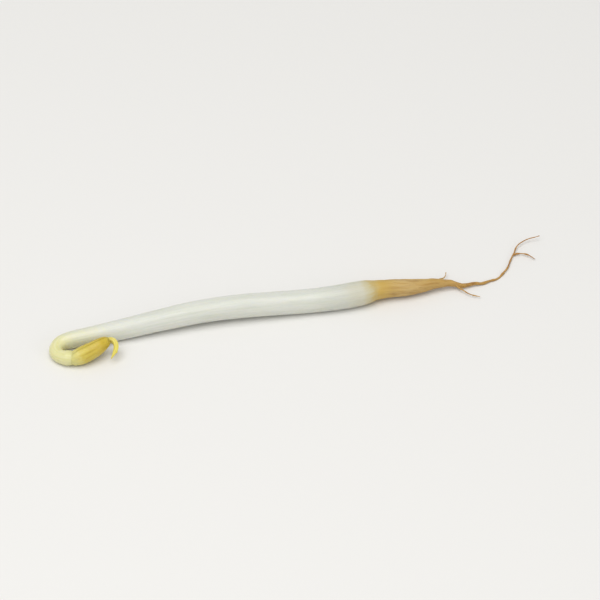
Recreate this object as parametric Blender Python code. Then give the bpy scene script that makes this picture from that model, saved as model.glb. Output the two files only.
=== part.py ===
# One mung bean sprout lying on its side: a white stem bent over in a hook, a tan root,
# two seed leaves closed on each other, and the pair of first leaves curling out from between them.
# The origin is the middle of the small flat spot under the thick end of the stem.
# +X runs along the sprout towards the root's tip, +Y is the side that the stem bows to, +Z is up.

import math

import bmesh
import bpy
from mathutils import Matrix, Vector

# All sizes below are in millimetres, and angles in degrees
MM = 0.001
GAP = 0.3  # between two pieces that touch

# Where the stem turns into the root, ahead of the middle of the flat spot
COLLAR_AHEAD = 5.2
REST_DEPTH = 0.1  # how much of the round underside is flattened where it rests

# The seed leaves: two halves, their flat sides together
BUD_LENGTH = 5.6
BUD_THICKNESS = 2.2
BUD_BREADTH = 2.35
BUD_RISE = 11
BUD_TURN = 14
BUD_BOW = 0.22
BUD_BLUNTNESS = 2.7
NECK_ROUNDING = 0.4  # how far the hook's end reaches towards them, as a share of its radius

# The young shoot between them
SHOOT_THICKNESS = 0.62
SHOOT_ROOM = 0.56  # radius of the groove that the seed leaves leave for it
FIRST_LEAF_BREADTH = 0.95
# Of each first leaf: its length, how far the plane that it curls in leans, its lift, and its sweep
LONG_LEAF = (3.8, 30, 15, 150)
SHORT_LEAF = (2.5, 60, 0, 125)
SHOOT_SUNK = 0.5  # how far inside the mouth of the bud the leaves part from their stalk

ROOTLET_THICKNESS = 0.6

# The stem, from the collar to the end of the hook: distance ahead of the collar, sideways place,
# how far the underside is off the surface, and thickness
STEM_STATIONS = (
    (0.0, 0.00, 0.26, 2.78),
    (-1.0, -0.12, 0.10, 3.22),
    (-2.6, -0.25, 0.00, 3.48),
    (-5.4, -0.31, 0.00, 3.46),
    (-9.4, -0.05, 0.02, 3.36),
    (-14.0, 0.30, 0.22, 3.32),
    (-19.0, 0.68, 0.38, 3.34),
    (-24.0, 0.84, 0.42, 3.22),
    (-29.5, 0.66, 0.28, 3.06),
    (-35.0, 0.40, 0.06, 2.84),
    (-39.4, 0.24, 0.00, 2.52),
    (-42.2, 0.12, 0.00, 2.06),
    (-43.9, -0.22, 0.00, 1.70),
    (-44.8, -1.10, 0.02, 1.48),
    (-44.7, -2.20, 0.04, 1.38),
    (-43.9, -3.15, 0.12, 1.36),
    (-42.9, -3.68, 0.26, 1.42),
)

# The root, from the collar to its tip, in the same way
ROOT_STATIONS = (
    (0.0, 0.00, 0.28, 2.72),
    (1.2, -0.04, 0.36, 2.54),
    (4.2, -0.26, 0.30, 2.36),
    (6.3, -0.30, 0.40, 1.80),
    (8.2, -0.22, 0.52, 1.12),
    (10.6, -0.48, 0.40, 0.76),
    (13.5, -0.70, 0.14, 0.64),
    (16.6, -0.05, -0.02, 0.60),
    (18.4, 1.30, -0.02, 0.60),
    (20.2, 4.10, 0.06, 0.60),
    (21.6, 5.90, 0.24, 0.60),
    (24.6, 6.50, 0.60, 0.60),
)

# Fine side roots: the root's station that each grows from, and its points as steps from there
ROOTLETS = (
    (4, ((0.7, 0.75, -0.20), (1.5, 1.45, -0.45), (2.1, 2.60, -0.66))),
    (5, ((0.8, -0.95, -0.16), (1.7, -2.10, -0.34), (3.0, -2.90, -0.42))),
    (9, ((0.9, -0.10, 0.14), (1.9, -0.65, 0.16), (2.7, -1.60, 0.02))),
)


def clear_scene():
    for thing in list(bpy.data.objects):
        bpy.data.objects.remove(thing, do_unlink=True)


def material(name, colour, roughness):
    made = bpy.data.materials.new(name)
    made.use_nodes = True
    shader = made.node_tree.nodes["Principled BSDF"]
    shader.inputs["Base Color"].default_value = (*colour, 1.0)
    shader.inputs["Roughness"].default_value = roughness
    shader.inputs["Metallic"].default_value = 0.0
    made.diffuse_color = (*colour, 1.0)
    return made


def new_object(name, data):
    made = bpy.data.objects.new(name, data)
    bpy.context.scene.collection.objects.link(made)
    return made


def object_from(name, mesh):
    """An object from an edited mesh, its faces turned outwards."""
    bmesh.ops.recalc_face_normals(mesh, faces=mesh.faces)
    data = bpy.data.meshes.new(name)
    mesh.to_mesh(data)
    mesh.free()
    return new_object(name, data)


def plain_mesh(thing):
    """The object with its curve or its modifiers made into one plain mesh."""
    bpy.context.view_layer.update()
    graph = bpy.context.evaluated_depsgraph_get()
    data = bpy.data.meshes.new_from_object(thing.evaluated_get(graph))
    name = thing.name
    bpy.data.objects.remove(thing, do_unlink=True)
    return new_object(name, data)


def with_round_end(route, reach=1.0):
    """The route with a rounded tip, which reaches on by a share of its thickness there."""
    last, radius = route[-1]
    onward = (last - route[-2][0]).normalized() * radius * reach
    return route + [(last + onward * 0.6, radius * 0.8), (last + onward * 0.95, radius * 0.4)]


def tube(name, route, smoothness, steps=4):
    """A round tube through (place, radius) points, smooth along its length."""
    curve = bpy.data.curves.new(name, "CURVE")
    curve.dimensions = "3D"
    curve.resolution_u = steps
    curve.bevel_depth = MM
    curve.bevel_resolution = smoothness
    curve.use_fill_caps = True
    spline = curve.splines.new("BEZIER")
    spline.radius_interpolation = "CARDINAL"
    spline.bezier_points.add(len(route) - 1)
    for point, (place, radius) in zip(spline.bezier_points, route):
        point.co = place * MM
        point.radius = radius
        point.handle_left_type = "AUTO"
        point.handle_right_type = "AUTO"
    made = plain_mesh(new_object(name, curve))
    mesh = bmesh.new()
    mesh.from_mesh(made.data)
    bmesh.ops.remove_doubles(mesh, verts=mesh.verts, dist=1e-6)
    bpy.data.objects.remove(made, do_unlink=True)
    return object_from(name, mesh)


def rest_on_surface(thing):
    """Cuts the underside flat where it meets the surface at height 0."""
    mesh = bmesh.new()
    mesh.from_mesh(thing.data)
    name = thing.name
    bpy.data.objects.remove(thing, do_unlink=True)
    cut_off(mesh, place=(0, 0, 0), outward=(0, 0, -1), touching=1e-7)
    return object_from(name, mesh)


def cut_off(mesh, place, outward, touching):
    """Takes away all that lies beyond a plane, and closes the cut."""
    bmesh.ops.bisect_plane(
        mesh,
        geom=mesh.verts[:] + mesh.edges[:] + mesh.faces[:],
        dist=touching,
        plane_co=place,
        plane_no=outward,
        clear_outer=True,
    )
    rim = [edge for edge in mesh.edges if edge.is_boundary]
    if rim:
        bmesh.ops.holes_fill(mesh, edges=rim, sides=0)


def joined(name, things):
    """One closed body made from overlapping ones."""
    first, *rest = things
    others = bpy.data.collections.new(name + " branches")
    bpy.context.scene.collection.children.link(others)
    for thing in rest:
        bpy.context.scene.collection.objects.unlink(thing)
        others.objects.link(thing)
    union = first.modifiers.new("Join", "BOOLEAN")
    union.operation = "UNION"
    union.operand_type = "COLLECTION"
    union.collection = others
    union.solver = "EXACT"
    whole = plain_mesh(first)
    for thing in rest:
        bpy.data.objects.remove(thing, do_unlink=True)
    bpy.data.collections.remove(others)
    whole.name = name
    return whole


def grooved(thing, cutter):
    """The object with the cutter's shape taken out of it."""
    cutter.hide_render = True
    cutter.display_type = "WIRE"
    groove = thing.modifiers.new("Groove", "BOOLEAN")
    groove.operation = "DIFFERENCE"
    groove.object = cutter
    groove.solver = "EXACT"
    name = thing.name
    made = plain_mesh(thing)
    bpy.data.objects.remove(cutter, do_unlink=True)
    made.name = name
    return made


def finish(thing, surface):
    thing.data.materials.clear()
    thing.data.materials.append(surface)
    thing.data.shade_smooth()
    thing.data.set_sharp_from_angle(angle=math.radians(50))


def route_through(stations, start):
    """(place, radius) points of a tube whose underside keeps the stated height."""
    route = []
    for ahead, side, lift, thickness in stations:
        radius = thickness / 2
        place = Vector((start + ahead, side, radius - REST_DEPTH + lift))
        route.append((place, radius))
    return route


def stem_route():
    return route_through(STEM_STATIONS, COLLAR_AHEAD)


def root_route():
    return route_through(ROOT_STATIONS, COLLAR_AHEAD + GAP)


def bud_axis():
    """The way that the seed leaves point, from the hook's end back along the stem."""
    rise, turn = math.radians(BUD_RISE), math.radians(BUD_TURN)
    level = math.cos(rise)
    return Vector((level * math.cos(turn), level * math.sin(turn), math.sin(rise)))


def bud_frame():
    """The place of the seed leaves: X along them, Y towards the stem, Z across and upwards."""
    along = bud_axis()
    inward = Vector((0, 0, 1)).cross(along).normalized()
    across = along.cross(inward)
    neck_end, radius = stem_route()[-1]
    base = neck_end + along * (radius * NECK_ROUNDING + GAP)
    turned = Matrix((along, inward, across)).transposed().to_4x4()
    return Matrix.Translation(base * MM) @ turned @ Matrix.Scale(MM, 4)


def bud_bow(x):
    """How far the middle of the seed leaves bows away from the stem, at x from their base."""
    share = min(1.0, max(0.0, x / BUD_LENGTH))
    return -BUD_BOW * 4 * share * (1 - share)


def shoot_room():
    """The space between the seed leaves that the young shoot's stalk fills."""
    mesh = bmesh.new()
    turned = Matrix.Rotation(math.radians(90), 4, "Y")
    bmesh.ops.create_cone(
        mesh,
        cap_ends=True,
        segments=16,
        radius1=SHOOT_ROOM,
        radius2=SHOOT_ROOM,
        depth=BUD_LENGTH + 2,
        matrix=Matrix.Translation((BUD_LENGTH / 2, 0, 0)) @ turned,
    )
    return object_from("shoot room", mesh)


def seed_leaf(name, side):
    """One half of the split bean: domed outside, flat inside, with a groove for the shoot."""
    mesh = bmesh.new()
    turned = Matrix.Rotation(math.radians(90), 4, "Y")
    bmesh.ops.create_uvsphere(mesh, u_segments=28, v_segments=16, radius=1.0, matrix=turned)
    power = 2 / BUD_BLUNTNESS
    for vert in mesh.verts:
        x, y, z = vert.co
        round_about = math.hypot(y, z)
        fuller = round_about ** (power - 1) if round_about > 1e-6 else 0.0
        along = math.copysign(abs(x) ** power, x)
        narrowing = 1.0 - 0.08 * along
        vert.co.x = (along + 1) / 2 * BUD_LENGTH
        vert.co.y = y * fuller * narrowing * BUD_THICKNESS / 2
        vert.co.z = z * fuller * narrowing * BUD_BREADTH / 2
    cut_off(mesh, place=(0, side * GAP / 2, 0), outward=(0, -side, 0), touching=1e-5)
    leaf = grooved(object_from(name, mesh), shoot_room())
    for vert in leaf.data.vertices:
        vert.co.y += bud_bow(vert.co.x)
    leaf.data.transform(bud_frame())
    return rest_on_surface(leaf)


def leaf_breadth(share, full):
    """A first leaf's breadth at a share of its length: slim foot, broad middle, narrow tip."""
    swell = math.sin(math.pi * min(1.0, 0.12 + 0.88 * share)) ** 0.8
    return SHOOT_THICKNESS + (full - SHOOT_THICKNESS) * swell


def blade(name, route, breadth):
    """A narrow leaf along a route, with an oval section no thinner than the shoot."""
    mesh = bmesh.new()
    sides = 12
    rings = []
    for number, place in enumerate(route):
        before = route[max(0, number - 1)]
        after = route[min(len(route) - 1, number + 1)]
        ahead = (after - before).normalized()
        wide = (Vector((0, 0, 1)) - ahead * ahead.z).normalized()
        thick = ahead.cross(wide)
        share = number / (len(route) - 1)
        half = leaf_breadth(share, breadth) / 2
        ring = []
        for side in range(sides):
            angle = 2 * math.pi * side / sides
            across = wide * half * math.cos(angle)
            through = thick * SHOOT_THICKNESS / 2 * math.sin(angle)
            ring.append(mesh.verts.new(place + across + through))
        rings.append(ring)
    for first, second in zip(rings, rings[1:]):
        bmesh.ops.bridge_loops(mesh, edges=ring_edges(mesh, first) + ring_edges(mesh, second))
    mesh.faces.new(rings[0])
    mesh.faces.new(rings[-1])
    return object_from(name, mesh)


def ring_edges(mesh, ring):
    edges = []
    for first, second in zip(ring, ring[1:] + ring[:1]):
        edges.append(mesh.edges.get((first, second)) or mesh.edges.new((first, second)))
    return edges


def curl(start, length, lean, lift, sweep, count=14):
    """Points of a leaf that leaves along the bud, rises a little, and curls over and down,
    tightest at its foot. lean turns the plane that it curls in about the bud's own length."""
    lean = math.radians(lean)
    down = Vector((0, -math.cos(lean), -math.sin(lean)))
    place = start.copy()
    points = [place.copy()]
    for number in range(count):
        share = (number + 0.5) / count
        angle = math.radians(-lift + sweep * (1 - (1 - share) ** 2.2))
        heading = Vector((1, 0, 0)) * math.cos(angle) + down * math.sin(angle)
        place += heading * (length / count)
        points.append(place.copy())
    return points


def build_stem(white):
    route = with_round_end(stem_route(), NECK_ROUNDING)
    stem = rest_on_surface(tube("stem", route, smoothness=7))
    finish(stem, white)


def build_root(tan):
    route = root_route()
    pieces = [tube("root", with_round_end(route), smoothness=5)]
    for number, (station, steps) in enumerate(ROOTLETS):
        start = route[station][0]
        radius = ROOTLET_THICKNESS / 2
        run = [(start, radius)] + [(start + Vector(step), radius) for step in steps]
        pieces.append(tube(f"rootlet {number}", with_round_end(run), smoothness=2))
    root = rest_on_surface(joined("root", pieces))
    finish(root, tan)


def build_seed_leaves(ochre):
    for name, side in (("seed_leaf_outer", -1), ("seed_leaf_inner", 1)):
        finish(seed_leaf(name, side), ochre)


def build_first_leaves(yellow):
    stalk = []
    for number in range(10):
        x = 0.1 + BUD_LENGTH * number / 9
        stalk.append(Vector((x, bud_bow(x), 0)))
    mouth = stalk[-1] - Vector((SHOOT_SUNK, 0, 0))
    pieces = [
        blade("stalk", stalk, SHOOT_THICKNESS),
        blade("long leaf", curl(mouth, *LONG_LEAF), FIRST_LEAF_BREADTH),
        blade("short leaf", curl(mouth, *SHORT_LEAF), FIRST_LEAF_BREADTH * 0.9),
    ]
    shoot = joined("first_leaves", pieces)
    shoot.data.transform(bud_frame())
    finish(shoot, yellow)


def main():
    clear_scene()
    build_stem(material("stem white", (0.76, 0.78, 0.70), 0.35))
    build_root(material("root tan", (0.54, 0.34, 0.13), 0.5))
    build_seed_leaves(material("seed leaf ochre", (0.68, 0.50, 0.12), 0.4))
    build_first_leaves(material("first leaf yellow", (0.72, 0.60, 0.06), 0.4))


main()
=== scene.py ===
import math

import bpy
import numpy as np
from mathutils import Matrix, Vector, kdtree, noise


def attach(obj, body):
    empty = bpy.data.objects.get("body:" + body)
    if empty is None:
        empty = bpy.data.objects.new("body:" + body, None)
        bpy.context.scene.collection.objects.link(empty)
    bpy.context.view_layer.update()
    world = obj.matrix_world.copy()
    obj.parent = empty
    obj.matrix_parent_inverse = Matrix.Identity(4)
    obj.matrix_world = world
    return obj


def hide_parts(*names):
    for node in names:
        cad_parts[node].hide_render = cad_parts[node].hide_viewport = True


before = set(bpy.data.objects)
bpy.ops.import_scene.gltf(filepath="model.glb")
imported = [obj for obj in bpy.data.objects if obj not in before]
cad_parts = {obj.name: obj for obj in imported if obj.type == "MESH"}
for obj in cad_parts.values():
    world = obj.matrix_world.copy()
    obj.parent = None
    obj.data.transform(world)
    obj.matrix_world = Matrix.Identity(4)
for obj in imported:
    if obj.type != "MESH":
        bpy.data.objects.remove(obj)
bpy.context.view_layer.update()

# A single bean sprout lying on its side. Everything is modelled in millimetres and made metres at the end.
# Each piece keeps a point attribute called growth: where the point would be if the sprout were pulled
# straight, so that lines and streaks follow the skin round every bend.
mm = 0.001
tiny = 1e-4                  # two places nearer than this are the same
smoothAngle = 48             # degrees; a sharper edge stays an edge
routeSamples = 32            # points of a smooth curve between two of its knots

# The line that the whole sprout grows along, and its thickness. Ahead is measured from the collar,
# where the white stem turns into the tan root. Lift raises a stretch off the surface that it lies on.
axisShape = {
    "collarAhead": 5.2,
    "rootStartsAhead": 5.5,
    "restDepth": 0.1,        # how far a stretch without lift sinks in, which is then pressed flat
    "neckReach": 0.9,        # how far the end of the hook reaches in between the seed leaves
    "neckTip": 0.72,         # its radius there
    "stemStations": (        # ahead, side, lift, thickness
        (0.0, 0.00, 0.26, 2.78),
        (-1.0, -0.12, 0.10, 3.22),
        (-2.6, -0.25, 0.00, 3.48),
        (-5.4, -0.31, 0.00, 3.46),
        (-9.4, -0.05, 0.02, 3.36),
        (-14.0, 0.30, 0.22, 3.32),
        (-19.0, 0.68, 0.38, 3.34),
        (-24.0, 0.84, 0.42, 3.22),
        (-29.5, 0.66, 0.28, 3.06),
        (-35.0, 0.40, 0.06, 2.84),
        (-39.4, 0.24, 0.00, 2.60),
        (-42.2, 0.18, 0.00, 2.34),
        (-43.4, -0.12, 0.00, 2.12),
        (-44.1, -0.95, 0.00, 1.94),
        (-44.1, -1.90, 0.00, 1.88),
        (-43.5, -2.70, 0.04, 1.96),
        (-42.7, -3.14, 0.10, 2.06),
    ),
    "rootStations": (
        (0.0, 0.00, 0.28, 2.72),
        (1.2, -0.04, 0.36, 2.54),
        (4.2, -0.26, 0.30, 2.36),
        (6.3, -0.26, 0.40, 1.90),
        (8.2, -0.14, 0.50, 1.46),
        (10.6, -0.40, 0.42, 0.92),
        (13.5, -0.70, 0.14, 0.64),
        (16.6, -0.05, -0.02, 0.60),
        (18.4, 1.30, -0.02, 0.60),
        (20.2, 4.10, 0.06, 0.60),
        (21.6, 5.90, 0.24, 0.60),
        (24.6, 6.50, 0.60, 0.60),
    ),
    "threadFrom": 7.0,       # past here the root thins to a thread
    "threadTip": 0.26,       # its thickness at the tip, as a share of the station's
}

budShape = {
    "joint": (-42.9, -3.68, 0.26, 1.42),     # a station like the stem's, where the neck meets the bud
    "jointRounding": 0.4,    # the bud starts this share of the joint's radius past it,
    "jointGap": 0.3,         # and this much more
    "length": 5.6,
    "thickness": 2.28,
    "breadth": 2.43,
    "rise": 14,              # degrees
    "turn": 14,
    "bow": 0.22,             # of its middle, away from the stem
    "bluntness": 2.7,        # 2 gives an egg, and more gives blunter ends
}


def pickOnly(*things):
    bpy.ops.object.select_all(action="DESELECT")
    for thing in things:
        thing.select_set(True)
    bpy.context.view_layer.objects.active = things[0]


def applyAll(thing):
    pickOnly(thing)
    for modifier in list(thing.modifiers):
        bpy.ops.object.modifier_apply(modifier=modifier.name)


def editMode(thing, selectMode="VERT"):
    pickOnly(thing)
    bpy.ops.object.mode_set(mode="EDIT")
    bpy.ops.mesh.select_mode(type=selectMode)


def objectMode():
    bpy.ops.object.mode_set(mode="OBJECT")


def pickEdges(thing, wanted):
    # goes into edit mode with only those edges picked whose two ends are as wanted
    editMode(thing, "EDGE")
    bpy.ops.mesh.select_all(action="DESELECT")
    objectMode()
    places = thing.data.vertices
    for edge in thing.data.edges:
        first, second = edge.vertices
        edge.select = wanted(places[first].co, places[second].co)
    editMode(thing, "EDGE")


def smoothStep(value, low, high):
    share = min(1.0, max(0.0, (value - low) / (high - low)))
    return share * share * (3 - 2 * share)


def budFrame():
    # the seed leaves' own axes: X along them, Y towards the stem, Z across and upwards
    rise, turn = math.radians(budShape["rise"]), math.radians(budShape["turn"])
    along = Vector((math.cos(rise) * math.cos(turn), math.cos(rise) * math.sin(turn), math.sin(rise)))
    inward = Vector((0, 0, 1)).cross(along).normalized()
    across = along.cross(inward)
    joint, radius = stationPlace(budShape["joint"], axisShape["collarAhead"])
    base = joint + along * (radius * budShape["jointRounding"] + budShape["jointGap"])
    return Matrix.Translation(base) @ Matrix((along, inward, across)).transposed().to_4x4()


def stationPlace(station, start):
    ahead, side, lift, thickness = station
    radius = thickness / 2
    return Vector((start + ahead, side, radius - axisShape["restDepth"] + lift)), radius


def axisPoints():
    # from the end of the hook, past the collar, to the tip of the root
    points = [stationPlace(station, axisShape["collarAhead"]) for station in axisShape["stemStations"]]
    points.append((budFrame() @ Vector((axisShape["neckReach"], 0, 0)), axisShape["neckTip"]))
    points.reverse()
    lastAhead = axisShape["rootStations"][-1][0]
    for station in axisShape["rootStations"]:
        place, radius = stationPlace(station, axisShape["rootStartsAhead"])
        thinning = smoothStep(station[0], axisShape["threadFrom"], lastAhead)
        points.append((place, radius * (1 - thinning * (1 - axisShape["threadTip"]))))
    return points


def layRoute(name, points):
    # a smooth curve through the points, each with the thickness that it gives to what is bent along it
    bpy.ops.object.select_all(action="DESELECT")
    bpy.ops.curve.primitive_bezier_curve_add()
    route = bpy.context.object
    route.name = name
    route.data.dimensions = "3D"
    route.data.twist_mode = "Z_UP"
    route.data.resolution_u = routeSamples
    route.data.use_radius = True
    spline = route.data.splines[0]
    spline.radius_interpolation = "CARDINAL"
    spline.bezier_points.add(len(points) - 2)
    for knot, (place, radius) in zip(spline.bezier_points, points):
        knot.handle_left_type = "AUTO"
        knot.handle_right_type = "AUTO"
        knot.co = place
        knot.radius = radius
    return route


def traceRoute(route):
    # the curve as close points, each with its distance along and the way that it runs
    trace = route.to_mesh()
    points = np.array([vertex.co[:] for vertex in trace.vertices])
    route.to_mesh_clear()
    steps = np.linalg.norm(np.diff(points, axis=0), axis=1)
    distance = np.concatenate(([0.0], np.cumsum(steps)))
    ways = np.gradient(points, distance, axis=0)
    ways /= np.linalg.norm(ways, axis=1)[:, None]
    knots = [knot.radius for knot in route.data.splines[0].bezier_points]
    places = np.linspace(0, len(knots) - 1, len(points))
    radii = np.interp(places, range(len(knots)), knots)
    return {"points": points, "distance": distance, "ways": ways, "radii": radii, "start": 0.0}


def straightRod(name, start, end, sides, ringLength):
    # a straight rod of radius 1 along X, cut into even rings, coarsely first and then each cut into ten
    length = end - start
    bpy.ops.object.select_all(action="DESELECT")
    bpy.ops.mesh.primitive_cylinder_add(
        vertices=sides,
        radius=1.0,
        depth=length,
        location=((start + end) / 2, 0, 0),
        rotation=(0, math.pi / 2, 0),
    )
    rod = bpy.context.object
    rod.name = name
    bpy.ops.object.transform_apply(location=True, rotation=True, scale=True)
    ringsEach = 10
    coarseRings = max(1, round(length / ringLength / ringsEach))
    for cuts in (coarseRings - 1, ringsEach - 1):
        if cuts > 0:
            pickEdges(rod, lambda first, second: abs(first.x - second.x) > tiny)
            bpy.ops.mesh.subdivide(number_cuts=cuts)
            objectMode()
    return rod


def roundEnd(rod, endX, reach, segments):
    # bevels the rim of one flat end. The dictionaries give reach and segments together as a rounding
    pickEdges(rod, lambda first, second: max(abs(first.x - endX), abs(second.x - endX)) < tiny)
    bpy.ops.mesh.bevel(offset=reach, segments=segments, affect="EDGES")
    objectMode()


def narrowPast(rod, place, reach, share):
    # draws the rod in, past a place on it, so that it goes under the skin of the piece that it grows into
    for vertex in rod.data.vertices:
        past = (vertex.co.x - place) / reach
        if past > 0:
            vertex.co.y *= 1 - share * past * past
            vertex.co.z *= 1 - share * past * past
    rod.data.update()


def meltTogether(parts, voxel, smoothing):
    # joins parts that overlap into the first of them, and draws one even skin over them
    pickOnly(*parts)
    bpy.ops.object.join()
    whole = parts[0]
    melt = whole.modifiers.new("Melt together", "REMESH")
    melt.mode = "VOXEL"
    melt.voxel_size = voxel
    ease = whole.modifiers.new("Ease", "SMOOTH")
    ease.factor = 0.5
    ease.iterations = smoothing
    applyAll(whole)


def bendAlong(thing, route):
    bend = thing.modifiers.new("Bend along the route", "CURVE")
    bend.object = route
    bend.deform_axis = "POS_X"
    applyAll(thing)


def keepVectors(piece, name, values):
    kept = piece.data.attributes.new(name, "FLOAT_VECTOR", "POINT")
    kept.data.foreach_set("vector", np.asarray(values, dtype=np.float32).ravel())


def keepNumbers(piece, name, values):
    kept = piece.data.attributes.new(name, "FLOAT", "POINT")
    kept.data.foreach_set("value", np.asarray(values, dtype=np.float32))


def growthPlaces(piece, lines):
    # for each point of the piece: distance along the line whose skin it is on, and how far sideways and up
    trees = []
    for line in lines:
        tree = kdtree.KDTree(len(line["points"]))
        for number, point in enumerate(line["points"]):
            tree.insert(point, number)
        tree.balance()
        trees.append(tree)
    upright = Vector((0, 0, 1))
    places = np.zeros((len(piece.data.vertices), 3))
    for vertex in piece.data.vertices:
        found = []
        for owner, (line, tree) in enumerate(zip(lines, trees)):
            _, number, distance = tree.find(vertex.co)
            found.append((distance - line["radii"][number], owner, number))
        _, owner, number = min(found)
        line = lines[owner]
        way = Vector(line["ways"][number])
        side = upright.cross(way).normalized()
        up = way.cross(side)
        offset = vertex.co - Vector(line["points"][number])
        along = line["distance"][number] + offset.dot(way) + line["start"]
        places[vertex.index] = (along, offset.dot(side), offset.dot(up))
    return places


def reliefNoise(along, side, up, pattern):
    # noise from -1 to 1. A pattern is its pace along and its pace around, in grains a unit, and two shifts
    paceAlong, paceAround, shiftSide, shiftUp = pattern
    return noise.noise(Vector((along * paceAlong, side * paceAround + shiftSide, up * paceAround + shiftUp)))


def carve(piece, growth, depthAt, amounts=1.0):
    # sinks each point below the skin by its own depth, and gives the depths back for the colouring
    mesh = piece.data
    normals = np.zeros(len(mesh.vertices) * 3)
    mesh.vertex_normals.foreach_get("vector", normals)
    places = np.zeros(len(mesh.vertices) * 3)
    mesh.vertices.foreach_get("co", places)
    depths = np.array([depthAt(*place) for place in growth]) * amounts
    places = places.reshape(-1, 3) - normals.reshape(-1, 3) * depths[:, None]
    mesh.vertices.foreach_set("co", places.ravel())
    mesh.update()
    return depths


def restOnSurface(piece):
    # flattens what would sink into the surface that the sprout lies on
    for vertex in piece.data.vertices:
        vertex.co.z = max(0.0, vertex.co.z)
    piece.data.update()


def settle(piece, slotName, *nodes):
    # millimetres to metres, smooth shading, then attached to the root body with the parts from model.glb
    # that it replaces hidden
    pickOnly(piece)
    piece.scale = (mm, mm, mm)
    bpy.ops.object.transform_apply(location=True, rotation=True, scale=True)
    bpy.ops.object.shade_smooth_by_angle(angle=math.radians(smoothAngle))
    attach(piece, "root")
    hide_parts(*nodes)
    print(piece.name, "has", len(piece.data.polygons), "faces")


# Materials: helpers for the finishes. Each finish stands beside its piece, with its look in the piece's plan

# A pattern in a look is laid on in its tint, by its strength. Its grain is how many grains a millimetre
# holds along, sideways and up. Shows is the two levels where it starts and where it shows in full.
plantSkin = {                # what the finishes share
    "lightColour": (1.0, 0.85, 0.5),         # how far red, green and blue light reach inside, as shares
    "coatRoughness": 0.22,
    "ior": 1.4,
    "grainRoughness": 0.55,
    "cellShows": (0.3, 0.7),
}


def screenColour(red, green, blue):
    # a colour as it looks on a screen, 0 to 255, as the shader's own light values
    values = []
    for part in (red, green, blue):
        share = part / 255
        values.append(share / 12.92 if share <= 0.04045 else ((share + 0.055) / 1.055) ** 2.4)
    return (*values, 1.0)


def newFinish(name, look):
    finish = bpy.data.materials.new(name)
    finish.use_nodes = True
    tree = finish.node_tree
    shader = tree.nodes["Principled BSDF"]
    shader.inputs["Subsurface Weight"].default_value = look["light"]
    shader.inputs["Subsurface Radius"].default_value = plantSkin["lightColour"]
    shader.inputs["Subsurface Scale"].default_value = look["lightReach"] * mm
    shader.inputs["Coat Weight"].default_value = look["coat"]
    shader.inputs["Coat Roughness"].default_value = plantSkin["coatRoughness"]
    shader.inputs["IOR"].default_value = plantSkin["ior"]
    return finish, tree, shader


def growthNode(tree):
    node = tree.nodes.new("ShaderNodeAttribute")
    node.attribute_name = "growth"
    return node.outputs["Vector"]


def furrowNode(tree):
    # the relief's depth, which the furrow tints use to lay painted shade in grooves and folds
    node = tree.nodes.new("ShaderNodeAttribute")
    node.attribute_name = "furrow"
    return node.outputs["Fac"]


def alongNode(tree):
    node = tree.nodes.new("ShaderNodeSeparateXYZ")
    tree.links.new(growthNode(tree), node.inputs[0])
    return node.outputs[0]


def noiseNode(tree, look):
    mapping = tree.nodes.new("ShaderNodeMapping")
    mapping.inputs["Location"].default_value = (look.get("shift", 0.0), 0.0, 0.0)
    mapping.inputs["Scale"].default_value = look["grain"]
    tree.links.new(growthNode(tree), mapping.inputs["Vector"])
    grain = tree.nodes.new("ShaderNodeTexNoise")
    grain.inputs["Scale"].default_value = 1.0
    grain.inputs["Detail"].default_value = look["detail"]
    grain.inputs["Roughness"].default_value = plantSkin["grainRoughness"]
    tree.links.new(mapping.outputs["Vector"], grain.inputs["Vector"])
    return grain.outputs["Fac"]


def rangeNode(tree, value, levels, newLevels=(0.0, 1.0)):
    # runs smoothly between the new levels while the value runs between its own
    node = tree.nodes.new("ShaderNodeMapRange")
    node.interpolation_type = "SMOOTHSTEP"
    node.inputs["From Min"].default_value, node.inputs["From Max"].default_value = levels
    node.inputs["To Min"].default_value, node.inputs["To Max"].default_value = newLevels
    tree.links.new(value, node.inputs["Value"])
    return node.outputs["Result"]


def mathNode(tree, operation, first, second):
    node = tree.nodes.new("ShaderNodeMath")
    node.operation = operation
    for socket, value in zip(node.inputs, (first, second)):
        if isinstance(value, (int, float)):
            socket.default_value = value
        else:
            tree.links.new(value, socket)
    return node.outputs[0]


def mixNode(tree, share, first, second):
    # first where share is 0, second where it is 1
    node = tree.nodes.new("ShaderNodeMix")
    node.data_type = "RGBA"
    tree.links.new(share, node.inputs[0])
    tree.links.new(first, node.inputs[6])
    node.inputs[7].default_value = second
    return node.outputs[2]


def rampNode(tree, value, stops):
    # colours at places in millimetres, from the first stop to the last
    low, high = stops[0][0], stops[-1][0]
    share = tree.nodes.new("ShaderNodeMapRange")
    share.inputs["From Min"].default_value = low
    share.inputs["From Max"].default_value = high
    tree.links.new(value, share.inputs["Value"])
    ramp = tree.nodes.new("ShaderNodeValToRGB")
    ramp.color_ramp.interpolation = "EASE"
    elements = ramp.color_ramp.elements
    while len(elements) < len(stops):
        elements.new(0.5)
    for element, (place, colour) in zip(elements, stops):
        element.position = (place - low) / (high - low)
        element.color = screenColour(*colour)
    tree.links.new(share.outputs["Result"], ramp.inputs["Fac"])
    return ramp.outputs["Color"]


def bumpNode(tree, shader, height, look):
    depth, strength = look["bump"]
    bump = tree.nodes.new("ShaderNodeBump")
    bump.inputs["Strength"].default_value = strength
    bump.inputs["Distance"].default_value = depth * mm
    tree.links.new(height, bump.inputs["Height"])
    tree.links.new(bump.outputs["Normal"], shader.inputs["Normal"])


def tinted(tree, colour, pattern, place):
    # the pattern's tint laid on where it shows, on the stretch that place picks out
    # a pattern without a grain follows the furrows' depth, and lays painted shade in them
    source = noiseNode(tree, pattern) if "grain" in pattern else furrowNode(tree)
    shows = rangeNode(tree, source, pattern["shows"])
    share = mathNode(tree, "MULTIPLY", mathNode(tree, "MULTIPLY", shows, place), pattern["strength"])
    return mixNode(tree, share, colour, screenColour(*pattern["tint"]))


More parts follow.
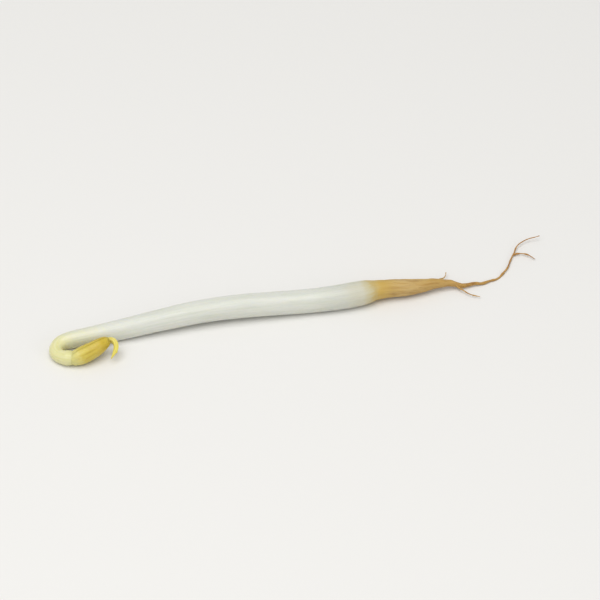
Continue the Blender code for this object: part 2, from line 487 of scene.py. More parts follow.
# The colour along the whole sprout, in millimetres past the collar, shared by stem and root so that they
# meet without a step. The white ends in a ragged edge of streaks.
sproutColours = {
    "stops": (
        (-50.1, (211, 204, 130)),            # the neck's end, between the seed leaves
        (-48.4, (211, 206, 140)),
        (-46.9, (227, 223, 170)),            # the hook
        (-44.4, (227, 223, 170)),
        (-41.0, (223, 222, 196)),
        (-36.0, (219, 220, 211)),            # the white stem
        (-9.5, (219, 220, 211)),
        (-5.4, (209, 210, 200)),
        (-2.4, (206, 203, 184)),
        (-1.3, (201, 192, 155)),
        (-0.4, (198, 174, 110)),             # the collar
        (0.8, (196, 163, 82)),
        (4.2, (200, 170, 110)),              # the root
        (8.2, (192, 158, 90)),
        (14.0, (184, 142, 72)),
        (30.0, (160, 108, 46)),
    ),
    "ragged": 2.2,           # how far the streaks shift the colours along
    "streaks": {"grain": (0.35, 2.2, 2.2), "detail": 3.0},
}


def sproutSkin(tree):
    streaks = mathNode(tree, "SUBTRACT", noiseNode(tree, sproutColours["streaks"]), 0.5)
    uneven = mathNode(tree, "MULTIPLY", streaks, sproutColours["ragged"])
    place = mathNode(tree, "ADD", alongNode(tree), uneven)
    return rampNode(tree, place, sproutColours["stops"])


# The stem: a rod drawn out along the sprout's line, with shallow dents and fine lengthwise furrows

stemPlan = {
    "sides": 96,
    "ringLength": 0.16,
    "endRounding": (0.14, 5),
    "insideRoot": 0.7,       # past the collar the stem narrows and ends inside the root
    "insideNarrowing": 0.16,
    "reliefFrom": (0.9, 2.6),                # past the neck's end the relief fades in
    "fullRadius": 1.5,       # it is shallower where the sprout is thinner than this
    "leastRadius": 0.3,      # and takes no point as nearer to its middle line than this
    "dents": 0.05,           # depths in millimetres
    "furrows": 0.056,
    "fineLines": 0.010,
    "creases": 0.045,
    "dentPattern": (0.13, 0.8, 0.0, 5.0),    # the patterns are for reliefNoise
    "furrowPattern": (0.05, 3.6, 9.0, 0.0),
    "fineLinePattern": (0.16, 11.0, 0.0, 3.0),
    "creasePattern": (0.9, 1.5, 0.0, 0.0),
    "creaseSpacing": 0.62,
    "creaseWander": 4.0,
    "creaseNarrowing": 1.5,  # how closely the creases keep to the hook's inner side
    "creasesStart": (1.2, 2.4),              # past the neck's end they fade in and out again
    "creasesStop": (5.6, 8.0),
    "coat": 0.22,            # from here on, its look
    "light": 0.4,            # how much light passes inside,
    "lightReach": 0.6,       # and how far, in millimetres
    "lightPastCollar": (-1.0, -4.0),         # none passes near the ends, where the skins of two pieces cross
    "lightPastBud": (-48.2, -45.5),
    "roughness": (0.24, 0.38),
    "dullAtCollar": 0.2,     # added to the roughness, from none to all of it on this stretch
    "dullStretch": (-3.0, 0.0),
    "bump": (0.02, 0.5),     # depth in millimetres, and strength
    "cells": {"grain": (0.9, 9.0, 9.0), "detail": 2.0},
    "stemFromCollar": (-1.2, -3.5),
    "stemFromHook": (-46.0, -40.0),
    "hookFrom": (-41.0, -46.0),
    "patches": {
        "tint": (206, 209, 196),
        "strength": 0.5,
        "grain": (0.09, 0.7, 0.7),
        "detail": 3.0,
        "shows": (0.42, 0.66),
    },
    "streaks": {
        "tint": (200, 205, 186),
        "strength": 0.32,
        "grain": (0.10, 4.0, 4.0),
        "detail": 3.0,
        "shows": (0.48, 0.68),
    },
    "hookStreaks": {"tint": (212, 209, 132), "strength": 0.5},       # otherwise like the streaks
}


def stemFinish():
    look = stemPlan
    finish, tree, shader = newFinish("moist white stem skin", look)
    along = alongNode(tree)
    fromCollar = rangeNode(tree, along, look["stemFromCollar"])
    fromHook = rangeNode(tree, along, look["stemFromHook"])
    onStem = mathNode(tree, "MULTIPLY", fromCollar, fromHook)
    onHook = rangeNode(tree, along, look["hookFrom"])
    colour = sproutSkin(tree)
    colour = tinted(tree, colour, look["patches"], onStem)
    colour = tinted(tree, colour, look["streaks"], onStem)
    colour = tinted(tree, colour, {**look["streaks"], **look["hookStreaks"]}, onHook)
    tree.links.new(colour, shader.inputs["Base Color"])
    cells = noiseNode(tree, look["cells"])
    gloss = rangeNode(tree, cells, plantSkin["cellShows"], look["roughness"])
    matter = rangeNode(tree, along, look["dullStretch"], (0.0, look["dullAtCollar"]))
    tree.links.new(mathNode(tree, "ADD", gloss, matter), shader.inputs["Roughness"])
    pastCollar = rangeNode(tree, along, look["lightPastCollar"], (0.0, look["light"]))
    pastBud = rangeNode(tree, along, look["lightPastBud"])
    tree.links.new(mathNode(tree, "MULTIPLY", pastCollar, pastBud), shader.inputs["Subsurface Weight"])
    bumpNode(tree, shader, cells, look)
    return finish


def hookCreases(fromNeckEnd, side, up):
    # fine cross folds on the inner side of the hook, where the skin is squeezed
    shape = stemPlan
    inner = max(0.0, -side / max(shape["leastRadius"], math.hypot(side, up)))
    amount = smoothStep(fromNeckEnd, *shape["creasesStart"])
    amount *= 1 - smoothStep(fromNeckEnd, *shape["creasesStop"])
    wander = reliefNoise(fromNeckEnd, side, up, shape["creasePattern"]) * shape["creaseWander"]
    wave = 0.5 + 0.5 * math.sin(fromNeckEnd * 2 * math.pi / shape["creaseSpacing"] + wander)
    return shape["creases"] * amount * inner ** shape["creaseNarrowing"] * wave


def skinDents(along, side, up):
    # relief that stem and root share, so that they are flush where they meet
    shape = stemPlan
    radius = max(shape["leastRadius"], math.hypot(side, up))
    roundY, roundZ = side / radius, up / radius
    dents = reliefNoise(along, roundY, roundZ, shape["dentPattern"])
    furrows = reliefNoise(along, roundY, roundZ, shape["furrowPattern"])
    fineLines = reliefNoise(along, roundY, roundZ, shape["fineLinePattern"])
    depth = shape["dents"] * (0.5 + 0.5 * dents)
    depth += shape["furrows"] * max(0.0, furrows)
    depth += shape["fineLines"] * (0.5 + 0.5 * fineLines)
    return depth * min(1.0, radius / shape["fullRadius"])


def buildStem(route, line, collar):
    shape = stemPlan
    stem = straightRod("whiteStem", 0.0, collar + shape["insideRoot"], shape["sides"], shape["ringLength"])
    roundEnd(stem, 0.0, *shape["endRounding"])
    narrowPast(stem, collar, shape["insideRoot"], shape["insideNarrowing"])
    bendAlong(stem, route)
    growth = growthPlaces(stem, [line])
    keepVectors(stem, "growth", growth)
    fadeIn = np.array([smoothStep(along + collar, *shape["reliefFrom"]) for along, _, _ in growth])
    carve(stem, growth, skinDents, fadeIn)
    carve(stem, growth, lambda along, side, up: hookCreases(along + collar, side, up))
    restOnSurface(stem)
    stem.data.materials.append(stemFinish())
    settle(stem, "stem", "stem")


# The root: a tapering rod and three fine side roots, melted into one skin and then wrinkled

rootPlan = {
    "sides": 48,
    "ringLength": 0.12,
    "tipRounding": (0.12, 3),
    "voxel": 0.05,
    "smoothing": 3,
    "insideStem": 0.7,       # it starts inside the stem, and comes out through its skin at the collar
    "insideNarrowing": 0.16,
    "folds": 0.11,           # depths in millimetres
    "rings": 0.0385,
    "grooves": ((3.0, 0.06), (5.5, 0.03)),   # how close they stand, and their depth
    "grooveWidth": 0.16,
    "groovesFade": (-0.3, 0.3),              # the noise's levels where they start and are full
    "foldPattern": (0.28, 2.0, 0.0, 7.0),
    "ringPattern": (1.5, 0.6, 0.0, 0.0),
    "groovePace": 0.22,
    "grooveShift": 2.0,
    "fadePaces": (0.6, 1.5),
    "wrinklesFrom": (0.4, 3.0),              # past the collar they fade in
    "fullRadius": 0.9,
    "leastRadius": 0.12,
    "crookFrom": (8.0, 16.0),                # past the collar the root starts to stray, and strays in full
    "wander": 1.1,           # how far, as a share of its own radius
    "wanderPace": 0.55,
    "swelling": 0.45,
    "swellingPace": 1.3,
    "crookSeed": 1.0,
    "rootletSides": 16,
    "rootletThickness": 0.30,
    "rootletTip": 0.14,
    "rootletTipRounding": (0.06, 2),
    "rootletFoot": 1.2,      # how much thicker it is at its first point
    "rootletCrookFrom": (0.3, 1.2),
    "rootletWander": 1.43,
    "rootletSeed": 4.0,
    "rootlets": (            # the root's station that each grows from, and its points as steps from there
        (4, ((0.7, 0.75, -0.20), (1.5, 1.45, -0.45), (2.1, 2.60, -0.66))),
        (5, ((0.8, -0.95, -0.16), (1.7, -2.10, -0.34), (3.0, -2.90, -0.42))),
        (9, ((0.9, -0.10, 0.14), (1.9, -0.65, 0.16), (2.7, -1.60, 0.02))),
    ),
    "coat": 0.22,            # from here on, its look
    "light": 0.3,
    "lightReach": 0.4,
    "lightPastCollar": (0.8, 3.0),
    "roughness": (0.45, 0.68),
    "bump": (0.06, 0.8),
    "bumpFrom": (-0.3, 2.5),
    "leastBump": 0.15,
    "cells": {"grain": (0.9, 9.0, 9.0), "detail": 4.0},
    "rootFrom": (0.0, 3.0),
    "threadFrom": (7.0, 12.0),
    "streaks": {
        "tint": (176, 136, 68),
        "strength": 0.7,
        "grain": (0.22, 3.4, 3.4),
        "detail": 5.0,
        "shows": (0.42, 0.66),
    },
    "darkStretches": {
        "tint": (140, 90, 30),
        "strength": 0.75,
        "grain": (0.75, 1.6, 1.6),
        "detail": 4.0,
        "shift": 3.0,
        "shows": (0.5, 0.7),
    },
    "paleStretches": {
        "tint": (208, 172, 112),
        "strength": 0.7,
        "grain": (0.6, 1.6, 1.6),
        "detail": 3.0,
        "shift": 20.0,
        "shows": (0.5, 0.7),
    },
    # Painted shade: the furrows' tint darkens the skin by the depth of the wrinkles, as shade would fall in
    # the grooves
    "furrows": {"tint": (146, 100, 44), "strength": 0.7, "shows": (0.25, 1.0)},
}


def rootFinish():
    look = rootPlan
    finish, tree, shader = newFinish("tan root skin", look)
    along = alongNode(tree)
    onRoot = rangeNode(tree, along, look["rootFrom"])
    onThread = rangeNode(tree, along, look["threadFrom"])
    colour = sproutSkin(tree)
    colour = tinted(tree, colour, look["streaks"], onRoot)
    colour = tinted(tree, colour, look["darkStretches"], onThread)
    colour = tinted(tree, colour, look["paleStretches"], onThread)
    # painted shade in the wrinkles' grooves, by their depth
    colour = tinted(tree, colour, look["furrows"], onRoot)
    tree.links.new(colour, shader.inputs["Base Color"])
    cells = noiseNode(tree, look["cells"])
    gloss = rangeNode(tree, cells, plantSkin["cellShows"], look["roughness"])
    tree.links.new(gloss, shader.inputs["Roughness"])
    light = rangeNode(tree, along, look["lightPastCollar"], (0.0, look["light"]))
    tree.links.new(light, shader.inputs["Subsurface Weight"])
    amount = rangeNode(tree, along, look["bumpFrom"], (look["leastBump"], 1.0))
    bumpNode(tree, shader, mathNode(tree, "MULTIPLY", cells, amount), look)
    return finish


def rootWrinkles(along, side, up):
    # broad folds, slight rings and narrow lengthwise grooves
    shape = rootPlan
    radius = max(shape["leastRadius"], math.hypot(side, up))
    roundY, roundZ = side / radius, up / radius
    depth = shape["folds"] * max(0.0, reliefNoise(along, roundY, roundZ, shape["foldPattern"]))
    depth += shape["rings"] * max(0.0, reliefNoise(along, roundY, roundZ, shape["ringPattern"]))
    for closeness, grooveDepth in shape["grooves"]:
        linePattern = (shape["groovePace"], closeness, shape["grooveShift"], 0.0)
        line = reliefNoise(along, roundY, roundZ, linePattern)
        groove = max(0.0, 1 - abs(line) / shape["grooveWidth"])
        fade = reliefNoise(along, roundY, roundZ, (*shape["fadePaces"], 0.0, closeness))
        depth += grooveDepth * groove * smoothStep(fade, *shape["groovesFade"])
    return depth * smoothStep(along, *shape["wrinklesFrom"]) * min(1.0, radius / shape["fullRadius"])


def crook(rod, start, full, wander, seed):
    # past start, the rod strays from its line and swells and shrinks, by shares of its own radius.
    # The last number of each place in the noise tells the three of them apart
    shape = rootPlan
    for vertex in rod.data.vertices:
        x = vertex.co.x
        amount = smoothStep(x, start, full)
        swelling = shape["swelling"] * noise.noise(Vector((x * shape["swellingPace"], seed, 2.0)))
        size = 1 + amount * swelling
        sideways = noise.noise(Vector((x * shape["wanderPace"], seed, 5.0)))
        upwards = noise.noise(Vector((x * shape["wanderPace"], seed, 8.0)))
        vertex.co.y = vertex.co.y * size + wander * amount * sideways
        vertex.co.z = vertex.co.z * size + wander * amount * upwards
    rod.data.update()


def buildRootlet(number, station, steps, mainLine):
    shape = rootPlan
    start, _ = stationPlace(axisShape["rootStations"][station], axisShape["rootStartsAhead"])
    thick, thin = shape["rootletThickness"] / 2, shape["rootletTip"] / 2
    points = [(start, thick * shape["rootletFoot"])]
    for place, step in enumerate(steps, 1):
        points.append((start + Vector(step), thick + (thin - thick) * place / len(steps)))
    route = layRoute("rootlet line", points)
    line = traceRoute(route)
    nearest = np.linalg.norm(mainLine["points"] - np.array(start), axis=1).argmin()
    line["start"] = mainLine["distance"][nearest] + mainLine["start"]
    reach = line["distance"][-1]
    rootlet = straightRod("rootlet", 0.0, reach, shape["rootletSides"], shape["ringLength"])
    roundEnd(rootlet, reach, *shape["rootletTipRounding"])
    crook(rootlet, *shape["rootletCrookFrom"], shape["rootletWander"], shape["rootletSeed"] + number)
    bendAlong(rootlet, route)
    bpy.data.objects.remove(route, do_unlink=True)
    return rootlet, line


def buildRoot(route, line, collar):
    shape = rootPlan
    total = line["distance"][-1]
    root = straightRod("tanRoot", collar - shape["insideStem"], total, shape["sides"], shape["ringLength"])
    roundEnd(root, total, *shape["tipRounding"])
    narrowPast(root, collar, -shape["insideStem"], shape["insideNarrowing"])
    crookStart, crookFull = shape["crookFrom"]
    crook(root, collar + crookStart, collar + crookFull, shape["wander"], shape["crookSeed"])
    bendAlong(root, route)
    parts, lines = [root], [line]
    for number, (station, steps) in enumerate(shape["rootlets"]):
        rootlet, sideLine = buildRootlet(number, station, steps, line)
        parts.append(rootlet)
        lines.append(sideLine)
    meltTogether(parts, shape["voxel"], shape["smoothing"])
    growth = growthPlaces(root, lines)
    keepVectors(root, "growth", growth)
    carve(root, growth, skinDents)
    depths = carve(root, growth, rootWrinkles)
    # the depths, kept as furrow, also darken the grooves' colour as painted shade
    keepNumbers(root, "furrow", depths / depths.max())
    restOnSurface(root)
    root.data.materials.append(rootFinish())
    settle(root, "root", "root")


# The seed leaves: each a ball with its inner side pressed flat, grooved for the young shoot

seedLeafPlan = {
    "around": 96,
    "rings": 72,
    "overNeck": 0.62,        # how far their bases reach over the end of the hook
    "tipTaper": 0.11,        # how much slimmer the tip is than the middle, and the base fuller,
    "baseTaper": 0.12,       # and how much of that the base loses, mostly at its very end
    "baseTaperPower": 2.5,
    "seam": 0.08,            # between the two halves
    "innerFlatness": 0.02,   # how much of its bulge the inner side keeps
    "shootRoom": 0.42,       # radius of the groove for the shoot,
    "shootRoomDepth": 0.9,   # its depth as a share of that,
    "fleshShare": 0.63,      # and the most that it takes of the flesh behind it
    "wrinkles": 0.075,       # depth of the folds; the lines and pits are shares of it
    "lineShare": 0.7,
    "pitShare": 0.25,
    "foldPattern": (0.35, 1.7, 4.0, 0.0),
    "linePattern": (0.30, 4.5, 0.0, 8.0),
    "pitPattern": (2.2, 2.6, 0.0, 0.0),
    "plainRim": (0.0, 0.35),                 # the relief fades in from the seam,
    "plainEnds": (0.1, 0.4),                 # and between these shares of the girth from both ends
    "coat": 0.2,             # from here on, their look
    "light": 0.35,
    "lightReach": 0.8,
    "roughness": (0.34, 0.52),
    "bump": (0.03, 0.7),
    "cells": {"grain": (5.0, 13.0, 13.0), "detail": 3.0},
    "stops": (               # along the bud, from its base
        # The pale band round the base, up to 0.7, is partly the leaves' own paler base and partly a painted
        # highlight, the lit rim of the bud's base
        (-0.6, (213, 206, 134)),
        (0.1, (215, 207, 132)),
        (0.7, (217, 205, 120)),
        (1.3, (212, 196, 92)),
        (2.0, (208, 190, 80)),
        (3.8, (208, 184, 74)),
        (4.4, (204, 177, 53)),
        (5.0, (208, 183, 60)),
        (5.6, (204, 180, 72)),
    ),
    "patternsFrom": (0.3, 1.7),              # the patterns are faint at the base
    "leastPattern": 0.15,
    "mottle": {
        "tint": (198, 171, 56),
        "strength": 0.45,
        "grain": (0.7, 1.6, 1.6),
        "detail": 4.0,
        "shows": (0.42, 0.68),
    },
    "lines": {
        "tint": (190, 162, 52),
        "strength": 0.5,
        "grain": (0.35, 7.0, 7.0),
        "detail": 4.0,
        "shows": (0.48, 0.66),
    },
    # Painted shade: the furrows' tint darkens the leaves by the depth of their folds, as shade would fall in
    # them
    "furrows": {"tint": (166, 127, 30), "strength": 0.55, "shows": (0.3, 1.0)},
}


def seedLeafFinish():
    look = seedLeafPlan
    finish, tree, shader = newFinish("waxy ochre seed leaf", look)
    along = alongNode(tree)
    pastBase = rangeNode(tree, along, look["patternsFrom"], (look["leastPattern"], 1.0))
    colour = rampNode(tree, along, look["stops"])
    # the furrows' tint among these patterns is painted shade in the folds
    for pattern in (look["mottle"], look["lines"], look["furrows"]):
        colour = tinted(tree, colour, pattern, pastBase)
    tree.links.new(colour, shader.inputs["Base Color"])
    cells = noiseNode(tree, look["cells"])
    gloss = rangeNode(tree, cells, plantSkin["cellShows"], look["roughness"])
    tree.links.new(gloss, shader.inputs["Roughness"])
    bumpNode(tree, shader, cells, look)
    return finish


def budBow(x):
    # how far the bud's middle line bows away from the stem
    share = min(1.0, max(0.0, x / budShape["length"]))
    return -budShape["bow"] * 4 * share * (1 - share)


def seedLeafDepth(along, side, up):
    shape = seedLeafPlan
    depth = max(0.0, reliefNoise(along, side, up, shape["foldPattern"]))
    depth += shape["lineShare"] * max(0.0, reliefNoise(along, side, up, shape["linePattern"]))
    depth += shape["pitShare"] * max(0.0, reliefNoise(along, side, up, shape["pitPattern"]))
    return shape["wrinkles"] * depth


def shapeSeedLeaf(leaf, side):
    # makes the half ball blunt at both ends, gives it its size and its groove, and says how much
    # relief each point may have
    shape = seedLeafPlan
    power = 2 / budShape["bluntness"]
    length = budShape["length"] + shape["overNeck"]
    amounts = []
    for vertex in leaf.data.vertices:
        x, y, z = vertex.co
        girth = math.hypot(y, z)
        fuller = girth ** (power - 1) if girth > tiny else 0.0
        along = math.copysign(abs(x) ** power, x)
        narrowing = 1 - shape["tipTaper"] * along
        narrowing *= 1 - shape["baseTaper"] * max(0.0, -along) ** shape["baseTaperPower"]
        vertex.co.x = (along + 1) / 2 * length - shape["overNeck"]
        vertex.co.y = y * fuller * narrowing * (budShape["thickness"] - shape["seam"]) / 2
        vertex.co.z = z * fuller * narrowing * budShape["breadth"] / 2
        fromRim = smoothStep(vertex.co.y * side, *shape["plainRim"])
        amounts.append(fromRim * smoothStep(girth, *shape["plainEnds"]))
        if y * side < 0:
            room = math.sqrt(max(0.0, shape["shootRoom"] ** 2 - vertex.co.z ** 2))
            flesh = math.sqrt(max(0.0, 1 - x * x - z * z)) * narrowing * budShape["thickness"] / 2
            vertex.co.y += side * min(room * shape["shootRoomDepth"], flesh * shape["fleshShare"])
        vertex.co.y += side * shape["seam"] / 2 + budBow(vertex.co.x)
    leaf.data.update()
    return np.array(amounts)


def buildSeedLeaf(name, side, node):
    # side is 1 for the half next to the stem and -1 for the other
    shape = seedLeafPlan
    bpy.ops.object.select_all(action="DESELECT")
    bpy.ops.mesh.primitive_uv_sphere_add(
        segments=shape["around"], ring_count=shape["rings"], radius=1.0, rotation=(0, math.pi / 2, 0)
    )
    leaf = bpy.context.object
    leaf.name = name
    bpy.ops.object.transform_apply(location=True, rotation=True, scale=True)
    editMode(leaf)
    bpy.ops.mesh.select_all(action="DESELECT")
    objectMode()
    for vertex in leaf.data.vertices:
        vertex.select = vertex.co.y * side < -tiny
    editMode(leaf)
    bpy.ops.transform.resize(value=(1, shape["innerFlatness"], 1), center_override=(0, 0, 0))
    objectMode()
    amounts = shapeSeedLeaf(leaf, side)
    growth = [vertex.co[:] for vertex in leaf.data.vertices]
    keepVectors(leaf, "growth", growth)
    depths = carve(leaf, growth, seedLeafDepth, amounts)
    # the depths, kept as furrow, also darken the folds' colour as painted shade
    keepNumbers(leaf, "furrow", depths / depths.max())
    leaf.data.transform(budFrame())
    restOnSurface(leaf)
    leaf.data.materials.append(seedLeafFinish())
    settle(leaf, "seed_leaf", node)


# The first leaves: two narrow folded blades that curl out of the mouth of the bud, on one stalk

firstLeafPlan = {
    "stalkThickness": 0.6,
    "stalkStart": 0.1,
    "stalkSteps": 7,
    "stalkTaper": 0.04,      # how much thinner it gets with each step
    "stalkSides": 24,
    "stalkRingLength": 0.15,
    "stalkRounding": (0.5, 4),
    "sunk": 0.5,             # how far before the stalk's end the blades start
    "voxel": 0.034,
    "smoothing": 5,
    "bladeCells": (64, 20),
    "blade": 0.20,           # thickness of a blade along its midrib
    "edgeThinness": 0.5,     # how much thinner it is along its margins and at its tip
    "tipThinsFrom": 0.8,
    "breadth": 0.84,
    "outline": (             # breadths along a blade, as shares, from its foot to its tip
        (0.0, 0.64),
        (0.12, 0.74),
        (0.26, 0.93),
        (0.40, 1.0),
        (0.55, 0.92),
        (0.72, 0.70),
        (0.86, 0.42),
        (0.95, 0.22),
        (1.0, 0.10),
    ),
    "fold": 0.48,            # how far the margins stand off the midrib
    "foldSoftness": 0.02,
    "midribBelow": 0.14,     # how far the midrib lies below the blade's line
    "wave": 0.05,            # of the margins
    "wavePace": 9.0,
    "waveLean": 2.0,
    "turn": -62,             # of the blades about their own midribs, in degrees
    "turnedBy": 0.45,        # where along the blade it is turned in full
    "tightness": 3.0,        # how much of the curl is near the foot
    "curlSteps": 14,
    "leaves": (              # length, lean, lift, sweep, and the share of the full breadth
        (3.7, 28, 24, 164, 1.0),
        (2.8, 66, 18, 120, 0.9),
    ),
    "coat": 0.2,             # from here on, their look
    "light": 0.4,
    "lightReach": 0.5,
    "roughness": 0.4,
    "bump": (0.03, 0.5),
    "stops": (               # along the shoot, from its foot
        (0.0, (226, 218, 136)),
        (6.0, (222, 208, 104)),
        (7.5, (218, 204, 84)),
        (9.5, (204, 190, 70)),
    ),
    "veins": {
        "tint": (188, 166, 46),
        "strength": 0.45,
        "grain": (0.8, 8.0, 8.0),
        "detail": 4.0,
        "shows": (0.48, 0.66),
    },
}


def firstLeafFinish():
    look = firstLeafPlan
    finish, tree, shader = newFinish("bright yellow first leaf", look)
    veins = rangeNode(tree, noiseNode(tree, look["veins"]), look["veins"]["shows"])
    share = mathNode(tree, "MULTIPLY", veins, look["veins"]["strength"])
    colour = rampNode(tree, alongNode(tree), look["stops"])
    colour = mixNode(tree, share, colour, screenColour(*look["veins"]["tint"]))
    tree.links.new(colour, shader.inputs["Base Color"])
    shader.inputs["Roughness"].default_value = look["roughness"]
    bumpNode(tree, shader, veins, look)
    return finish


def curlPoints(start, length, lean, lift, sweep):
    # a leaf leaves along the bud, rises a little, and curls over and down, tightest at its foot
    shape = firstLeafPlan
    lean = math.radians(lean)
    down = Vector((0, -math.cos(lean), -math.sin(lean)))
    place = start.copy()
    points = [(place.copy(), 1.0)]
    for number in range(shape["curlSteps"]):
        share = (number + 0.5) / shape["curlSteps"]
        angle = math.radians(-lift + sweep * (1 - (1 - share) ** shape["tightness"]))
        step = length / shape["curlSteps"]
        place += (Vector((1, 0, 0)) * math.cos(angle) + down * math.sin(angle)) * step
        points.append((place.copy(), 1.0))
    return points


def buildBlade(points, full):
    shape = firstLeafPlan
    route = layRoute("leaf line", points)
    line = traceRoute(route)
    length = line["distance"][-1]
    cellsLong, cellsWide = shape["bladeCells"]
    bpy.ops.object.select_all(action="DESELECT")
    bpy.ops.mesh.primitive_grid_add(
        x_subdivisions=cellsLong, y_subdivisions=cellsWide, size=1.0, location=(0.5, 0, 0)
    )
    leaf = bpy.context.object
    bpy.ops.object.transform_apply(location=True, rotation=True, scale=True)
    places, breadths = zip(*shape["outline"])
    softness = shape["foldSoftness"]
    thickness = leaf.vertex_groups.new(name="thickness")
    for vertex in leaf.data.vertices:
        share, across = vertex.co.x, vertex.co.y * 2
        half = full / 2 * float(np.interp(share, places, breadths))
        ease = math.sqrt(across * across + softness) - math.sqrt(softness)
        wave = shape["wave"] * math.sin(share * shape["wavePace"] + across * shape["waveLean"])
        through = shape["fold"] * half * 2 * ease + wave * abs(across) - shape["midribBelow"]
        wide = across * half
        turn = math.radians(shape["turn"]) * smoothStep(share, 0.0, shape["turnedBy"])
        thin = max(across ** 2, smoothStep(share, shape["tipThinsFrom"], 1.0))
        thickness.add([vertex.index], 1 - shape["edgeThinness"] * thin, "REPLACE")
        vertex.co = (
            share * length,
            through * math.cos(turn) - wide * math.sin(turn),
            through * math.sin(turn) + wide * math.cos(turn),
        )
    thicken = leaf.modifiers.new("Thickness", "SOLIDIFY")
    thicken.thickness = shape["blade"]
    thicken.offset = 0.0
    thicken.vertex_group = "thickness"
    applyAll(leaf)
    bendAlong(leaf, route)
    bpy.data.objects.remove(route, do_unlink=True)
    return leaf, line


def buildStalk():
    shape = firstLeafPlan
    points = []
    for number in range(shape["stalkSteps"] + 1):
        x = shape["stalkStart"] + budShape["length"] * number / shape["stalkSteps"]
        radius = shape["stalkThickness"] / 2 * (1 - shape["stalkTaper"] * number)
        points.append((Vector((x, budBow(x), 0)), radius))
    route = layRoute("stalk line", points)
    line = traceRoute(route)
    reach = line["distance"][-1]
    stalk = straightRod("firstLeaves", 0.0, reach, shape["stalkSides"], shape["stalkRingLength"])
    roundEnd(stalk, reach, *shape["stalkRounding"])
    bendAlong(stalk, route)
    bpy.data.objects.remove(route, do_unlink=True)
    return stalk, line, points[-1][0]


def buildFirstLeaves():
    shape = firstLeafPlan
    shoot, stalkLine, stalkEnd = buildStalk()
    mouth = stalkEnd - Vector((shape["sunk"], 0, 0))
    parts, lines = [shoot], [stalkLine]
    for length, lean, lift, sweep, share in shape["leaves"]:
        blade, line = buildBlade(curlPoints(mouth, length, lean, lift, sweep), shape["breadth"] * share)
        line["start"] = stalkLine["distance"][-1] - shape["sunk"]
        # for growthPlaces, a blade is a rod whose radius is a quarter of the full breadth
        line["radii"] = line["radii"] * shape["breadth"] / 4
        parts.append(blade)
        lines.append(line)
    meltTogether(parts, shape["voxel"], shape["smoothing"])
    growth = growthPlaces(shoot, lines)
    keepVectors(shoot, "growth", growth)
    shoot.data.transform(budFrame())
    restOnSurface(shoot)
    shoot.data.materials.append(firstLeafFinish())
    settle(shoot, "first_leaf", "first_leaves")


# The studio: a pale floor that turns up at its far rim, soft light from above, and the camera

studio = {                   # in metres, watts and degrees, and the lens in millimetres
    "floorRadius": 0.9,
    "floorSides": 96,
    "floorColour": (0.81, 0.80, 0.775, 1.0),
    "floorRoughness": 0.9,
    "floorShine": 0.1,
    "rimHeight": 0.5,
    "rimSteps": 8,
    "rimSpread": 0.12,
    "worldStrength": 0.50,
    "topLight": 1.65,
    "topSize": 0.5,
    "topPlace": (-0.12, -0.10, 0.45),
    "fillLight": 0.25,
    "fillSize": 0.3,
    "fillPlace": (0.3, -0.4, 0.25),
    "azimuth": -13.35,
    "elevation": 42.0,
    "lens": 300.0,
    "nearestSeen": 0.01,
    "viewWidth": 0.081,
    "lookAt": (-0.0050, 0.0008, 0.0012),
}


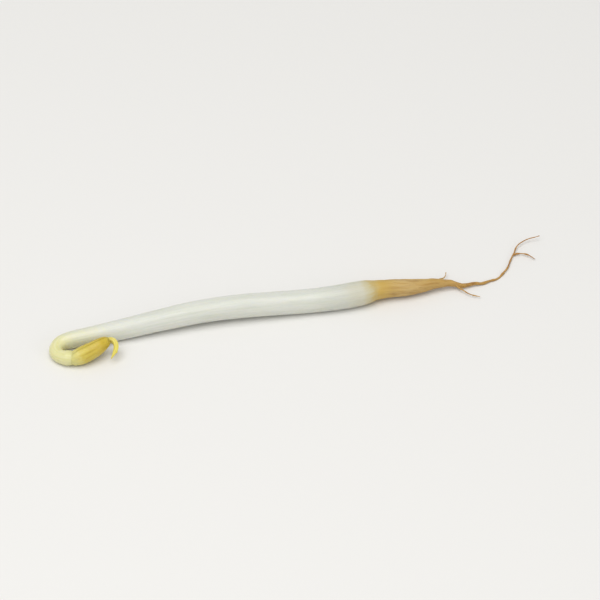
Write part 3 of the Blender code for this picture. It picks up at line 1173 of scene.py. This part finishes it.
def buildFloor():
    bpy.ops.object.select_all(action="DESELECT")
    bpy.ops.mesh.primitive_circle_add(vertices=studio["floorSides"], radius=studio["floorRadius"])
    floor = bpy.context.object
    floor.name = "floor"
    editMode(floor, "EDGE")
    bpy.ops.mesh.select_all(action="SELECT")
    for step in range(1, studio["rimSteps"] + 1):
        angle = math.radians(90 * step / studio["rimSteps"])
        rise = studio["rimHeight"] * math.sin(angle) / studio["rimSteps"]
        grow = 1 + studio["rimSpread"] * math.cos(angle)
        bpy.ops.mesh.extrude_region_move(TRANSFORM_OT_translate={"value": (0, 0, rise)})
        bpy.ops.transform.resize(value=(grow, grow, 1), center_override=(0, 0, 0))
    objectMode()
    pickEdges(floor, lambda first, second: max(first.z, second.z) < tiny)
    bpy.ops.mesh.edge_face_add()
    objectMode()
    bpy.ops.object.shade_smooth()
    paper = bpy.data.materials.new("pale paper")
    paper.use_nodes = True
    shader = paper.node_tree.nodes["Principled BSDF"]
    shader.inputs["Base Color"].default_value = studio["floorColour"]
    shader.inputs["Roughness"].default_value = studio["floorRoughness"]
    shader.inputs["Specular IOR Level"].default_value = studio["floorShine"]
    floor.data.materials.append(paper)
    print("The floor is laid")


def addSoftLight(name, place, size, energy):
    # a round light that points at the sprout
    bpy.ops.object.select_all(action="DESELECT")
    bpy.ops.object.light_add(type="AREA", location=place)
    light = bpy.context.object
    light.name = name
    light.data.shape = "DISK"
    light.data.size = size
    light.data.energy = energy
    light.visible_camera = False
    light.rotation_euler = (-Vector(place)).to_track_quat("-Z", "Y").to_euler()


def setStudio():
    world = bpy.data.worlds.new("soft white room")
    world.use_nodes = True
    world.node_tree.nodes["Background"].inputs["Color"].default_value = (1, 1, 1, 1)
    world.node_tree.nodes["Background"].inputs["Strength"].default_value = studio["worldStrength"]
    bpy.context.scene.world = world
    addSoftLight("top softbox", studio["topPlace"], studio["topSize"], studio["topLight"])
    addSoftLight("front fill", studio["fillPlace"], studio["fillSize"], studio["fillLight"])
    azimuth, elevation = math.radians(studio["azimuth"]), math.radians(studio["elevation"])
    back = Vector((
        math.sin(azimuth) * math.cos(elevation),
        -math.cos(azimuth) * math.cos(elevation),
        math.sin(elevation),
    ))
    bpy.ops.object.camera_add()
    camera = bpy.context.object
    camera.data.lens = studio["lens"]
    camera.data.clip_start = studio["nearestSeen"]
    distance = studio["viewWidth"] * studio["lens"] / camera.data.sensor_width
    camera.location = Vector(studio["lookAt"]) + back * distance
    camera.rotation_euler = (-back).to_track_quat("-Z", "Y").to_euler()
    bpy.context.scene.camera = camera
    bpy.context.scene.view_settings.view_transform = "Standard"
    print("The lights and the camera are set")


def buildSprout():
    route = layRoute("sprout line", axisPoints())
    line = traceRoute(route)
    collar = line["distance"][len(axisShape["stemStations"]) * routeSamples]
    line["start"] = -collar
    print("The line is", round(line["distance"][-1], 1), "mm long, the stem", round(collar, 1))
    buildStem(route, line, collar)
    buildRoot(route, line, collar)
    bpy.data.objects.remove(route, do_unlink=True)
    buildSeedLeaf("seedLeafOuter", -1, "seed_leaf_outer")
    buildSeedLeaf("seedLeafInner", 1, "seed_leaf_inner")
    buildFirstLeaves()


buildFloor()
setStudio()
buildSprout()
